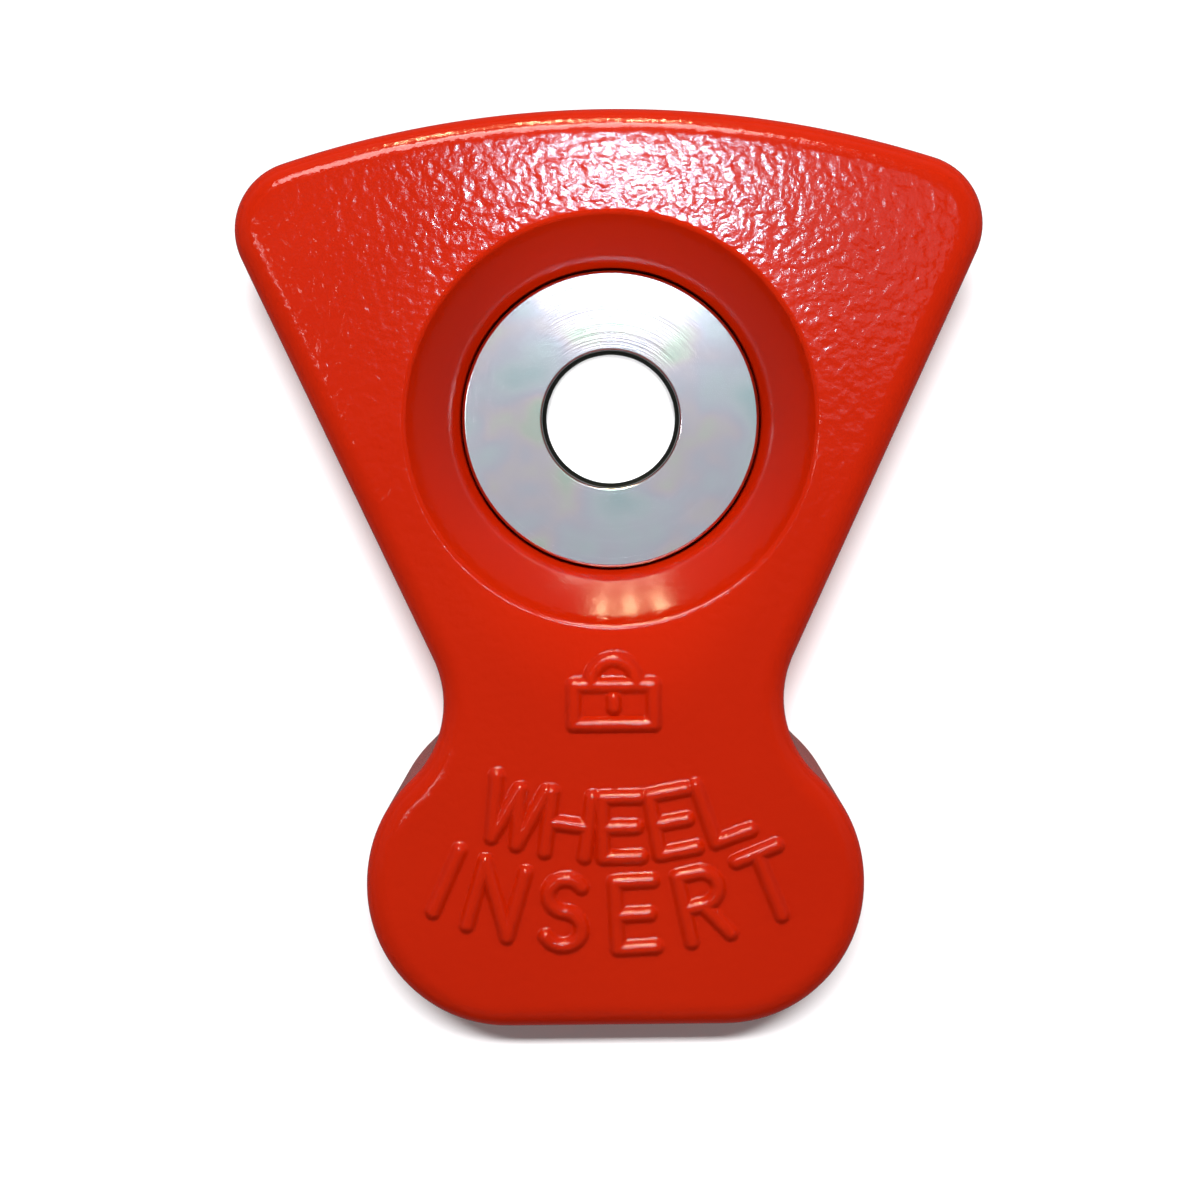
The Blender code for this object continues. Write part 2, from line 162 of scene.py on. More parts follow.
cast = {
    "crownRadius": 160.0 * mm,
    "cornerRadius": 10.5 * mm,
    "flankAngle": math.radians(25.0),
    "flankX": 42.0 * mm,          # half width of the body at the height flankY
    "flankY": -4.7 * mm,          # measured from the bolt's axis, as shoulderY is
    "waistRadius": 16.0 * mm,
    "bulbRadius": 21.4 * mm,
    "bulbX": 16.4 * mm,
    "shoulderY": -70.2 * mm,
    "frontFillet": 3.8 * mm,
    "rearFillet": 1.2 * mm,
    "seamZ": 22.0 * mm,           # parting line of the mould
    "seamWidth": 0.5 * mm,
    "seamStandsOut": 0.0012,      # share by which the seam's loop is wider
    "draft": 0.991,               # rear outline over front outline
    "bowlMouth": 31.0 * mm,
    "bowlFoot": 23.6 * mm,
    "bowlZ": 31.9 * mm,
    "mouthRounding": 0.6 * mm,
    "bearingZ": 24.7 * mm,
    "bushHole": 17.3 * mm,
    "shoulderZ": 9.0 * mm,
    "rearBore": 21.0 * mm,
    "recessInset": 3.5 * mm,
    "ledgeZ": 6.1 * mm,
    "pocketInset": 7.5 * mm,
    "pocketZ": 37.5 * mm,
    "bossRadius": 33.0 * mm,      # behind the bowl, down to bossConeZ
    "bossConeZ": 24.0 * mm,
    "bossNeckZ": 18.0 * mm,       # the narrower neck starts here
    "bossNeckRadius": 27.0 * mm,
    "seatZ": 5.0 * mm,
    "postRadius": 5.0 * mm,
    "tapRadius": 2.8 * mm,
    "tapZ": 18.0 * mm,
}
screwNodes = sorted(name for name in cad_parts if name.startswith("back_screw"))
padNodes = sorted(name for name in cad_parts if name.startswith("wheel_pad"))


def middleOf(node):
    low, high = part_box(node)
    return 0.5 * (low + high)


def touchingCentre(reach, offset, besideX, besideY):
    # the point offset from the flank's line and reach from the point beside it
    lean = math.tan(cast["flankAngle"])
    startX = offset / math.cos(cast["flankAngle"]) - besideX
    a = 1 + lean * lean
    b = 2 * (startX * lean - besideY)
    c = startX * startX + besideY * besideY - reach * reach
    y = (-b + math.sqrt(b * b - 4 * a * c)) / (2 * a)
    return startX + besideX + lean * y, y


flankOffset = cast["flankX"] * math.cos(cast["flankAngle"]) - cast["flankY"] * math.sin(cast["flankAngle"])
crownCentre = (0.0, crownY - cast["crownRadius"])
cornerCentre = touchingCentre(
    cast["crownRadius"] - cast["cornerRadius"], flankOffset - cast["cornerRadius"], *crownCentre)
waistCentre = touchingCentre(
    cast["waistRadius"] + cast["bulbRadius"], flankOffset + cast["waistRadius"],
    cast["bulbX"], cast["shoulderY"])


def outline(name, inset, z, fineness=1.0):
    # pens the right half from the crown to the foot, then mirrors it and fills it
    def place(x, y):
        return boltX + x, boltY + y, z

    def around(centre, angle, steps):
        spinAround(place(*centre), angle, max(2, round(steps * fineness)))

    cornerTurn = math.atan2(cornerCentre[1] - crownCentre[1], cornerCentre[0])
    flankTurn = -cast["flankAngle"]
    meetTurn = math.atan2(cast["shoulderY"] - waistCentre[1], cast["bulbX"] - waistCentre[0])
    shoulder = (cast["bulbX"], cast["shoulderY"])
    foot = (cast["bulbX"], footY + cast["bulbRadius"])
    side = cast["bulbX"] + cast["bulbRadius"] - inset
    flankEnd = cast["cornerRadius"] - inset
    waistStart = cast["waistRadius"] + inset
    normal = (math.cos(flankTurn), math.sin(flankTurn))
    piece = startAt(name, place(0, crownY - inset))
    around(crownCentre, 0.5 * math.pi - cornerTurn, 44)
    around(cornerCentre, cornerTurn - flankTurn, 20)
    drawTo(
        place(cornerCentre[0] + flankEnd * normal[0], cornerCentre[1] + flankEnd * normal[1]),
        place(waistCentre[0] - waistStart * normal[0], waistCentre[1] - waistStart * normal[1]))
    around(waistCentre, flankTurn - meetTurn - math.pi, 26)
    around(shoulder, meetTurn + math.pi, 16)
    drawTo(place(side, shoulder[1]), place(side, foot[1]))
    around(foot, 0.5 * math.pi, 26)
    drawTo(place(foot[0], footY + inset), place(0, footY + inset))
    toObjectMode()
    mirror = piece.modifiers.new("mirror", "MIRROR")
    mirror.merge_threshold = 0.002 * mm
    applyAll(piece)
    pick(piece)
    bpy.ops.object.mode_set(mode="EDIT")
    bpy.ops.mesh.select_all(action="SELECT")
    bpy.ops.mesh.remove_doubles(threshold=0.002 * mm)
    bpy.ops.mesh.edge_face_add()
    return piece


def slab(name, inset, low, high, fineness=0.5):
    piece = outline(name, inset, high, fineness)
    bpy.ops.mesh.extrude_region_move(TRANSFORM_OT_translate={"value": (0, 0, low - high)})
    tidyMesh(piece)
    return piece


def sink(depth, share):
    # draws the selected loop down the wall and narrows it about the bolt's axis
    bpy.ops.mesh.extrude_region_move(TRANSFORM_OT_translate={"value": (0, 0, -depth)})
    bpy.ops.transform.resize(value=(share, share, 1), center_override=(boltX, boltY, 0))


def makeCasting():
    casting = outline("castBody", 0.0, faceZ)
    toFace = faceZ - cast["seamZ"] - 0.5 * cast["seamWidth"]
    toRim = cast["seamZ"] - 0.5 * cast["seamWidth"] - rimZ
    upperDraft = 1 - (1 - cast["draft"]) * toFace / (faceZ - rimZ)
    bpy.ops.mesh.select_all(action="SELECT")
    sink(toFace, upperDraft)
    sink(0.3 * cast["seamWidth"], 1 + cast["seamStandsOut"])
    sink(0.4 * cast["seamWidth"], 1.0)
    sink(0.3 * cast["seamWidth"], 1 - cast["seamStandsOut"])
    sink(toRim, cast["draft"] / upperDraft)
    tidyMesh(casting)

    def edgeAt(height, width, segments):
        pick(casting)
        bpy.ops.object.mode_set(mode="EDIT")
        bpy.ops.mesh.select_mode(type="EDGE")
        bpy.ops.mesh.select_all(action="DESELECT")
        bpy.ops.object.mode_set(mode="OBJECT")
        points = casting.data.vertices
        for edge in casting.data.edges:
            edge.select = all(abs(points[i].co.z - height) < 0.01 * mm for i in edge.vertices)
        bpy.ops.object.mode_set(mode="EDIT")
        bpy.ops.mesh.bevel(offset=width, segments=segments, affect="EDGES", clamp_overlap=False)
        bpy.ops.object.mode_set(mode="OBJECT")

    edgeAt(faceZ, cast["frontFillet"], 9)
    edgeAt(rimZ, cast["rearFillet"], 4)
    print("casting: outer skin", len(casting.data.polygons))

    bowl = turn("bowlTool", [
        (0, faceZ + 3 * past), (cast["bowlMouth"], faceZ + 3 * past), (cast["bowlMouth"], faceZ),
        (cast["bowlFoot"], cast["bowlZ"]), (cast["bowlFoot"], cast["bearingZ"]),
        (cast["bushHole"], cast["bearingZ"]), (cast["bushHole"], cast["shoulderZ"]),
        (cast["rearBore"], cast["shoulderZ"]), (cast["rearBore"], rimZ - 2 * past), (0, rimZ - 2 * past),
    ], (boltX, boltY), 160, closed=False)
    cutWith(casting, bowl)

    pocket = slab("pocketTool", cast["pocketInset"], rimZ - past, cast["pocketZ"])
    recess = slab("recessTool", cast["recessInset"], rimZ - 1.5 * past, cast["ledgeZ"])
    cutWith(pocket, recess, "UNION")
    cutWith(pocket, turn("bossTool", [
        (0, cast["pocketZ"] + past), (cast["bossRadius"], cast["pocketZ"] + past),
        (cast["bossRadius"], cast["bossConeZ"]), (cast["bossNeckRadius"], cast["bossNeckZ"]),
        (cast["bossNeckRadius"], cast["seatZ"]), (0, cast["seatZ"]),
    ], (boltX, boltY), 96, closed=False))
    for node in screwNodes:
        top = cast["pocketZ"] + past
        cutWith(pocket, disc("postTool", middleOf(node), cast["postRadius"], cast["seatZ"], top, 32))
    cutWith(casting, pocket)
    tidyMesh(casting, 0.004 * mm)
    for node in screwNodes:
        bottom = cast["seatZ"] - past
        cutWith(casting, disc("tapTool", middleOf(node), cast["tapRadius"], bottom, cast["tapZ"], 24))
    tidyMesh(casting, 0.004 * mm)
    print("casting: bowl and pocket cut", len(casting.data.polygons))
    return casting


relief = {
    "spacing": 0.2 * mm,          # of the fine mesh that carries the marks
    "height": 0.95 * mm,
    "topHalf": 0.15 * mm,         # half width of a stroke's flat crest
    "footHalf": 1.3 * mm,         # half width of its foot
    "margin": 0.6 * mm,           # plain face kept between the fine mesh and any edge
    "reach": (32.0 * mm, -34.0 * mm, -85.6 * mm),   # half width, upper and lower end
    "arcCentreY": -12.2 * mm,
    "letterWidth": 6.3 * mm,
    "ownWidths": {"I": 0.2, "W": 1.25},
    # word, radius of its arc, length along the arc, height of a letter
    "words": (("WHEEL", 49.2 * mm, 39.0 * mm, 9.0 * mm), ("INSERT", 62.4 * mm, 53.6 * mm, 10.0 * mm)),
    "signY": -41.0 * mm,
    "signHalf": 6.0 * mm,
    "signBody": 5.9 * mm,
    "signHeight": 9.8 * mm,
    "shackle": 3.4 * mm,
    "keyhole": (2.6 * mm, 4.0 * mm),                # its ends, up from the sign's foot
    "rim": 0.5 * mm,              # narrow band of plain face next to each rounded edge
}


def arcPoints(centre, wide, high, first, last, steps=14):
    turns = [math.radians(first + (last - first) * i / steps) for i in range(steps + 1)]
    return [(centre[0] + wide * math.cos(t), centre[1] + high * math.sin(t)) for t in turns]


def letterStrokes(letter):
    bends = arcPoints((0.5, 0.755), 0.43, 0.245, 38, 262) + arcPoints((0.5, 0.255), 0.46, 0.255, 82, -145)
    bowl = [(0.05, 1.0)] + arcPoints((0.52, 0.75), 0.44, 0.25, 90, -90) + [(0.05, 0.5)]
    shapes = {
        "W": [[(0, 1), (0.25, 0), (0.5, 0.9), (0.75, 0), (1, 1)]],
        "H": [[(0.02, 0), (0.02, 1)], [(0.98, 0), (0.98, 1)], [(0.02, 0.5), (0.98, 0.5)]],
        "E": [[(0.98, 1), (0.08, 1), (0.08, 0), (0.98, 0)], [(0.08, 0.5), (0.88, 0.5)]],
        "L": [[(0.1, 1), (0.1, 0), (0.98, 0)]],
        "I": [[(0.5, 0), (0.5, 1)]],
        "N": [[(0, 0), (0, 1), (1, 0), (1, 1)]],
        "S": [bends],
        "R": [[(0.05, 0), (0.05, 1)], bowl, [(0.5, 0.5), (1.0, 0)]],
        "T": [[(-0.02, 1), (1.02, 1)], [(0.5, 1), (0.5, 0)]],
    }
    return shapes[letter]


def wordStrokes(word, radius, span, height):
    own = [relief["letterWidth"] * relief["ownWidths"].get(letter, 1.0) for letter in word]
    gap = (span - sum(own)) / (len(word) - 1)
    along = -0.5 * span
    strokes = []
    for letter, width in zip(word, own):
        turnedBy = (along + 0.5 * width) / radius
        along += width + gap
        for stroke in letterStrokes(letter):
            line = []
            for across, up in stroke:
                across = (across - 0.5) * width
                out = radius - (up - 0.5) * height
                line.append((
                    out * math.sin(turnedBy) + across * math.cos(turnedBy),
                    relief["arcCentreY"] - out * math.cos(turnedBy) + across * math.sin(turnedBy)))
            strokes.append(line)
    return strokes


def padlockStrokes():
    half = relief["signHalf"]
    low = relief["signY"] - 0.5 * relief["signHeight"]
    high = low + relief["signBody"]
    crown = low + relief["signHeight"] - relief["shackle"]
    shackle = arcPoints((0, crown), relief["shackle"], relief["shackle"], 0, 180)
    shackle = [(relief["shackle"], high)] + shackle + [(-relief["shackle"], high)]
    body = [(half, low), (half, high), (-half, high), (-half, low), (half, low)]
    keyhole = [(0, low + height) for height in relief["keyhole"]]
    return [body, shackle, keyhole]


def distanceToStrokes(points, strokes):
    nearest = np.full(len(points), 1.0)
    for stroke in strokes:
        for first, last in zip(stroke, stroke[1:]):
            first, last = np.array(first), np.array(last)
            along = last - first
            share = np.clip((points - first) @ along / max(along @ along, 1e-12), 0, 1)
            gap = np.linalg.norm(points - first - share[:, None] * along, axis=1)
            nearest = np.minimum(nearest, gap)
    return nearest


def insetInside(points, inset):
    # true for the points at least that far inside the outline
    x, y = np.abs(points[:, 0]), points[:, 1]
    normalX, normalY = math.cos(cast["flankAngle"]), -math.sin(cast["flankAngle"])
    flankEnd = waistCentre[1] + cast["waistRadius"] * math.sin(cast["flankAngle"])
    flank = (x * normalX + y * normalY < flankOffset - inset) | (y < flankEnd)
    waist = np.hypot(x - waistCentre[0], y - waistCentre[1]) > cast["waistRadius"] + inset
    bulb = np.hypot(x - cast["bulbX"], y - cast["shoulderY"]) < cast["bulbRadius"] - inset
    corner = np.hypot(x - cast["bulbX"], y - footY - cast["bulbRadius"]) < cast["bulbRadius"] - inset
    middle = (x < cast["bulbX"]) & (y > footY + inset)
    share = cast["bulbRadius"] / (cast["bulbRadius"] + cast["waistRadius"])
    neckEnd = cast["shoulderY"] + share * (waistCentre[1] - cast["shoulderY"])
    return np.where(y > neckEnd, flank & waist, bulb | corner | middle)


def makeReliefSheet():
    half, high, low = relief["reach"]
    columns = round(2 * half / relief["spacing"])
    rows = round((high - low) / relief["spacing"])
    toObjectMode()
    bpy.ops.object.select_all(action="DESELECT")
    bpy.ops.mesh.primitive_grid_add(
        x_subdivisions=columns, y_subdivisions=rows, size=1,
        location=(boltX, boltY + 0.5 * (high + low), faceZ))
    sheet = bpy.context.object
    sheet.name = "reliefSheet"
    sheet.scale = (2 * half, high - low, 1)
    bpy.ops.object.transform_apply(location=True, rotation=True, scale=True)

    edge = cast["frontFillet"] + relief["rim"] + relief["margin"]
    mouth = cast["bowlMouth"] + cast["mouthRounding"] + relief["rim"] + relief["margin"]
    middles = np.array([face.center[:2] for face in sheet.data.polygons]) - (boltX, boltY)
    outside = ~insetInside(middles, edge) | (np.hypot(middles[:, 0], middles[:, 1]) < mouth)
    sheet.data.polygons.foreach_set("select", outside)
    bpy.ops.object.mode_set(mode="EDIT")
    bpy.ops.mesh.select_mode(type="FACE")
    bpy.ops.mesh.delete(type="FACE")
    bpy.ops.object.mode_set(mode="OBJECT")

    places = np.empty(3 * len(sheet.data.vertices))
    sheet.data.vertices.foreach_get("co", places)
    places = places.reshape(-1, 3)
    strokes = padlockStrokes()
    for word in relief["words"]:
        strokes += wordStrokes(*word)
    gap = distanceToStrokes(places[:, :2] - (boltX, boltY), strokes)
    share = np.clip((relief["footHalf"] - gap) / (relief["footHalf"] - relief["topHalf"]), 0, 1)
    places[:, 2] += relief["height"] * np.sin(0.5 * math.pi * share)
    sheet.data.vertices.foreach_set("co", places.ravel())
    sheet.data.update()
    print("casting: relief sheet", len(sheet.data.polygons))
    return sheet


def finishFace(casting):
    # rounds the bowl's mouth, then lets the relief sheet into the front face
    pick(casting)
    bpy.ops.object.mode_set(mode="EDIT")
    bpy.ops.mesh.select_mode(type="EDGE")
    bpy.ops.mesh.select_all(action="DESELECT")
    bpy.ops.object.mode_set(mode="OBJECT")
    points = casting.data.vertices
    for edge in casting.data.edges:
        ends = [points[i].co for i in edge.vertices]
        atFace = all(abs(end.z - faceZ) < 0.01 * mm for end in ends)
        reaches = [math.hypot(end.x - boltX, end.y - boltY) for end in ends]
        edge.select = atFace and all(abs(reach - cast["bowlMouth"]) < 0.03 * mm for reach in reaches)
    bpy.ops.object.mode_set(mode="EDIT")
    bpy.ops.mesh.bevel(offset=cast["mouthRounding"], segments=6, affect="EDGES", clamp_overlap=False)
    bpy.ops.mesh.select_mode(type="FACE")
    bpy.ops.mesh.select_all(action="DESELECT")
    bpy.ops.object.mode_set(mode="OBJECT")
    for face in casting.data.polygons:
        face.select = abs(face.center.z - faceZ) < 0.001 * mm and face.normal.z > 0.9999
    bpy.ops.object.mode_set(mode="EDIT")
    bpy.ops.mesh.inset(thickness=relief["rim"], depth=0)
    bpy.ops.mesh.delete(type="FACE")
    bpy.ops.object.mode_set(mode="OBJECT")
    sheet = makeReliefSheet()
    pick(casting, sheet)
    bpy.ops.object.join()
    bpy.ops.object.mode_set(mode="EDIT")
    bpy.ops.mesh.select_mode(type="EDGE")
    bpy.ops.mesh.select_all(action="DESELECT")
    bpy.ops.mesh.select_non_manifold(
        extend=False, use_wire=False, use_multi_face=False, use_non_contiguous=False, use_verts=False)
    bpy.ops.mesh.fill(use_beauty=True)
    bpy.ops.object.mode_set(mode="OBJECT")
    tidyMesh(casting, 0.003 * mm)
    smooth(casting, 50)
    print("casting: face closed", len(casting.data.polygons))
    return casting


# ---- the spinning seat and its bearing ----

seat = {
    "steps": 160,
    "edge": 0.4 * mm,             # chamfer round the ring's face
    "boreEdge": 0.25 * mm,
    "socketRadius": 14.8 * mm,    # the sleeve's end sits in here
    "socketZ": 29.5 * mm,
    "bore": 10.75 * mm,
    "easing": 0.12 * mm,          # softens the turned edges
}


def ease(piece, width, segments=2, angle=28):
    step = piece.modifiers.new("ease", "BEVEL")
    step.width = width
    step.segments = segments
    step.limit_method = "ANGLE"
    step.angle_limit = math.radians(angle)
    step.use_clamp_overlap = True
    applyAll(piece)


def makeSeatRing():
    low, high, outer = ringLow.z, ringHigh.z, 0.5 * (ringHigh.x - ringLow.x)
    ring = turn("seatRing", [
        (outer - seat["edge"], high), (outer, high - seat["edge"]), (outer, low + seat["edge"]),
        (outer - seat["edge"], low), (seat["socketRadius"], low), (seat["socketRadius"], seat["socketZ"]),
        (seat["bore"], seat["socketZ"]), (seat["bore"], high - seat["boreEdge"]),
        (seat["bore"] + seat["boreEdge"], high),
    ], (boltX, boltY), seat["steps"])
    ease(ring, seat["easing"])
    smooth(ring)
    return ring


tube = {
    "bore": 10.9 * mm,
    "outer": 14.5 * mm,
    "edge": 0.4 * mm,
    "lead": 0.8 * mm,             # longer chamfer at the rear end, for fitting the clip
    "grooveRadius": 13.4 * mm,
    "groove": (5.4 * mm, 7.4 * mm),
    "easing": 0.08 * mm,
}


def makeBoreSleeve():
    low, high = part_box("bore_sleeve")
    outer, inner, edge, lead = tube["outer"], tube["bore"], tube["edge"], tube["lead"]
    grooveLow, grooveHigh = tube["groove"]
    sleeve = turn("boreSleeve", [
        (outer - edge, high.z), (outer, high.z - edge), (outer, grooveHigh),
        (tube["grooveRadius"], grooveHigh), (tube["grooveRadius"], grooveLow), (outer, grooveLow),
        (outer, low.z + lead), (outer - lead, low.z), (inner + edge, low.z),
        (inner, low.z + edge), (inner, high.z - edge), (inner + edge, high.z),
    ], (boltX, boltY), 96)
    ease(sleeve, tube["easing"])
    smooth(sleeve)
    return sleeve


bearing = {
    "running": 0.3 * mm,          # gap round the sleeve
    "outer": 17.0 * mm,
    "flangeZ": 8.7 * mm,
    "flangeRadius": 20.0 * mm,
    "easing": 0.25 * mm,
}


def makeBush():
    low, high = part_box("bearing_bush")
    inner, outer = tube["outer"] + bearing["running"], bearing["outer"]
    flange, flangeZ = bearing["flangeRadius"], bearing["flangeZ"]
    bush = turn("bearingBush", [
        (inner, high.z), (outer, high.z), (outer, flangeZ), (flange, flangeZ), (flange, low.z),
        (inner, low.z),
    ], (boltX, boltY), 96)
    ease(bush, bearing["easing"])
    smooth(bush)
    return bush


thrust = {"inner": 15.4 * mm, "outer": 22.8 * mm, "easing": 0.15 * mm}


def makeThrustWasher():
    low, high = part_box("thrust_washer")
    inner, outer = thrust["inner"], thrust["outer"]
    profile = [(inner, high.z), (outer, high.z), (outer, low.z), (inner, low.z)]
    washer = turn("thrustWasher", profile, (boltX, boltY), 96)
    ease(washer, thrust["easing"])
    smooth(washer)
    return washer


clip = {
    "root": 13.7 * mm,
    "outer": 17.2 * mm,
    "halfGap": math.radians(13.0),
    "lugTurn": math.radians(14.5),
    "lugRadius": 2.3 * mm,
    "lugOut": 0.2 * mm,           # how far the lug stands off the groove
    "lugHole": 0.9 * mm,
    "lugThicker": 0.1 * mm,
    "easing": 0.12 * mm,
}


def makeRetainingRing():
    low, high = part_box("retaining_ring")
    bottom, top = low.z + clip["lugThicker"], high.z - clip["lugThicker"]

    def at(radius, angle, z):
        return boltX + radius * math.sin(angle), boltY + radius * math.cos(angle), z

    start = at(clip["root"], clip["halfGap"], top)
    ring = startAt("retainingRing", start)
    drawTo(start, at(clip["outer"], clip["halfGap"], top))
    bpy.ops.mesh.select_all(action="SELECT")
    bpy.ops.mesh.extrude_region_move(TRANSFORM_OT_translate={"value": (0, 0, bottom - top)})
    bpy.ops.mesh.select_all(action="SELECT")
    spinAround((boltX, boltY, 0), 2 * (math.pi - clip["halfGap"]), 72)
    tidyMesh(ring)
    for side in (1, -1):
        place = at(clip["root"] + clip["lugRadius"] + clip["lugOut"], side * clip["lugTurn"], 0)
        cutWith(ring, disc("lugTool", place, clip["lugRadius"], low.z, high.z, 32), "UNION")
        cutWith(ring, disc("lugHoleTool", place, clip["lugHole"], low.z - past, high.z + past, 24))
    tidyMesh(ring)
    ease(ring, clip["easing"])
    smooth(ring)
    return ring


# ---- the back: plate, screws and pads ----

plateLow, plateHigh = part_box("back_plate")
fixing = {
    "headRadius": 4.7 * mm,
    "headEdge": 0.3 * mm,
    "shankRadius": 2.5 * mm,
    "tip": 0.6 * mm,              # chamfer at the shank's end
    "plainLength": 4.6 * mm,      # from the head's face to the first thread
    "threadPitch": 0.8 * mm,
    "threadDepth": 0.28 * mm,
    "socketRadius": 1.85 * mm,
    "socketDepth": 1.6 * mm,
    "easing": 0.09 * mm,
}
foot = {
    "radius": 9.0 * mm,
    "neck": 4.0 * mm,
    "bead": 5.0 * mm,             # snaps in behind the plate
    "tip": 3.2 * mm,
    "room": 0.3 * mm,             # between the pad and the plate, all round
    "edge": 0.7 * mm,
    "groove": 5.6 * mm,           # ring groove in the pad's resting face
    "grooveHalf": 0.25 * mm,
    "grooveTop": 0.5 * mm,
    "easing": 0.18 * mm,
}
back = {
    "plateInset": 3.85 * mm,
    "plateHole": 21.0 * mm,
    "headRoom": 0.3 * mm,
    "shankRoom": 0.4 * mm,
    "coneTop": 0.2 * mm,          # below the plate's upper face
    "coneFoot": 0.35 * mm,        # above its lower face
    "easing": 0.15 * mm,
}


def makeBackPlate():
    low, high = plateLow.z, plateHigh.z
    plate = slab("backPlate", back["plateInset"], low, high, 1.0)
    cutWith(plate, disc("plateHoleTool", (boltX, boltY), back["plateHole"], low - past, high + past, 128))
    mouth = fixing["headRadius"] + back["headRoom"]
    neck = fixing["shankRadius"] + back["shankRoom"]
    for node in screwNodes:
        cutWith(plate, turn("countersinkTool", [
            (0, high + past), (neck, high + past), (neck, high - back["coneTop"]),
            (mouth, low + back["coneFoot"]), (mouth, low - past), (0, low - past),
        ], middleOf(node), 40, closed=False))
    hole = foot["neck"] + foot["room"]
    for node in padNodes:
        cutWith(plate, disc("padHoleTool", middleOf(node), hole, low - past, high + past, 40))
    tidyMesh(plate, 0.004 * mm)
    ease(plate, back["easing"], 2, 40)
    smooth(plate)
    return plate


def makeScrew():
    # modelled on the bolt's axis, then copied to each place
    low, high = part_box(screwNodes[0])
    shank, head, base = fixing["shankRadius"], fixing["headRadius"], low.z
    points = [(0, high.z), (shank - fixing["tip"], high.z)]
    z = high.z - fixing["tip"]
    while z > base + fixing["plainLength"]:
        points.append((shank, z))
        points.append((shank - fixing["threadDepth"], z - 0.5 * fixing["threadPitch"]))
        z -= fixing["threadPitch"]
    points += [(shank, z), (shank, plateHigh.z - 0.1 * mm)]
    points += [(head, base + fixing["headEdge"]), (head, base), (0, base)]
    screw = turn("backScrew", points, (boltX, boltY), 40, closed=False)
    toObjectMode()
    bpy.ops.object.select_all(action="DESELECT")
    depth = fixing["socketDepth"] + past
    bpy.ops.mesh.primitive_cylinder_add(
        vertices=6, radius=fixing["socketRadius"], depth=depth,
        location=(boltX, boltY, base - past + 0.5 * depth))
    cutWith(screw, bpy.context.object)
    tidyMesh(screw)
    ease(screw, fixing["easing"], 2, 45)
    smooth(screw, 40)
    return screw


def makePad():
    low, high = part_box(padNodes[0])
    neck, head, bead = foot["neck"], foot["radius"], foot["bead"]
    groove, half, edge, grooveTop = foot["groove"], foot["grooveHalf"], foot["edge"], foot["grooveTop"]
    under = plateLow.z - foot["room"]
    above = plateHigh.z + foot["room"]
    pad = turn("wheelPad", [
        (0, high.z), (foot["tip"], high.z), (bead, above + 2 * foot["room"]), (bead, above), (neck, above),
        (neck, under), (head, under), (head, edge), (head - edge, low.z),
        (groove + edge, low.z), (groove + half, grooveTop), (groove - half, grooveTop),
        (groove - edge, low.z), (0, low.z),
    ], (boltX, boltY), 48, closed=False)
    ease(pad, foot["easing"], 3, 35)
    smooth(pad)
    return pad


def copyTo(piece, nodes):
    # each copy has its own mesh, and the last place takes the piece itself
    name = piece.name
    made = []
    for _ in nodes[1:]:
        own = piece.copy()
        own.data = piece.data.copy()
        bpy.context.scene.collection.objects.link(own)
        made.append(own)
    made.append(piece)
    for number, (own, node) in enumerate(zip(made, nodes), 1):
        place = middleOf(node)
        own.name = name + str(number)
        pick(own)
        bpy.ops.object.mode_set(mode="EDIT")
        bpy.ops.mesh.select_all(action="SELECT")
        bpy.ops.transform.translate(value=(place.x - boltX, place.y - boltY, 0))
        bpy.ops.object.mode_set(mode="OBJECT")
    return made


# ---- surface effects shared by the materials ----

def newGroup(name, inputs, outputs):
    group = bpy.data.node_groups.new(name, "ShaderNodeTree")
    for socketName, kind, value in inputs:
        socket = group.interface.new_socket(
            name=socketName, in_out="INPUT", socket_type="NodeSocket" + kind)
        if value is not None:
            socket.default_value = value
    for socketName, kind in outputs:
        group.interface.new_socket(name=socketName, in_out="OUTPUT", socket_type="NodeSocket" + kind)
    return group, group.nodes.new("NodeGroupInput"), group.nodes.new("NodeGroupOutput")


def mathNode(nodes, links, operation, first, second):
    node = nodes.new("ShaderNodeMath")
    node.operation = operation
    for socket, value in zip(node.inputs, (first, second)):
        if isinstance(value, (int, float)):
            socket.default_value = value
        else:
            links.new(value, socket)
    return node.outputs[0]


def noiseNode(nodes, links, place, scale, detail, roughness):
    node = nodes.new("ShaderNodeTexNoise")
    node.inputs["Detail"].default_value = detail
    node.inputs["Roughness"].default_value = roughness
    links.new(place, node.inputs["Vector"])
    if isinstance(scale, (int, float)):
        node.inputs["Scale"].default_value = scale
    else:
        links.new(scale, node.inputs["Scale"])
    return node.outputs["Fac"]


def makeOrangePeel():
    # rounded ripples with a finer skin on top, as sprayed and baked powder has
    group, given, made = newGroup(
        "orangePeel",
        [("Place", "Vector", None), ("Scale", "Float", 500.0), ("Fine share", "Float", 0.2)],
        [("Height", "Float"), ("Tone", "Float")])
    nodes, links = group.nodes, group.links
    coarse = noiseNode(nodes, links, given.outputs["Place"], given.outputs["Scale"], 1.0, 0.4)
    fineScale = mathNode(nodes, links, "MULTIPLY", given.outputs["Scale"], 3.1)
    fine = noiseNode(nodes, links, given.outputs["Place"], fineScale, 1.0, 0.4)
    share = mathNode(nodes, links, "MULTIPLY", fine, given.outputs["Fine share"])
    height = mathNode(nodes, links, "ADD", coarse, share)
    slow = noiseNode(nodes, links, given.outputs["Place"], 35.0, 2.0, 0.5)
    links.new(height, made.inputs["Height"])
    links.new(slow, made.inputs["Tone"])
    return group


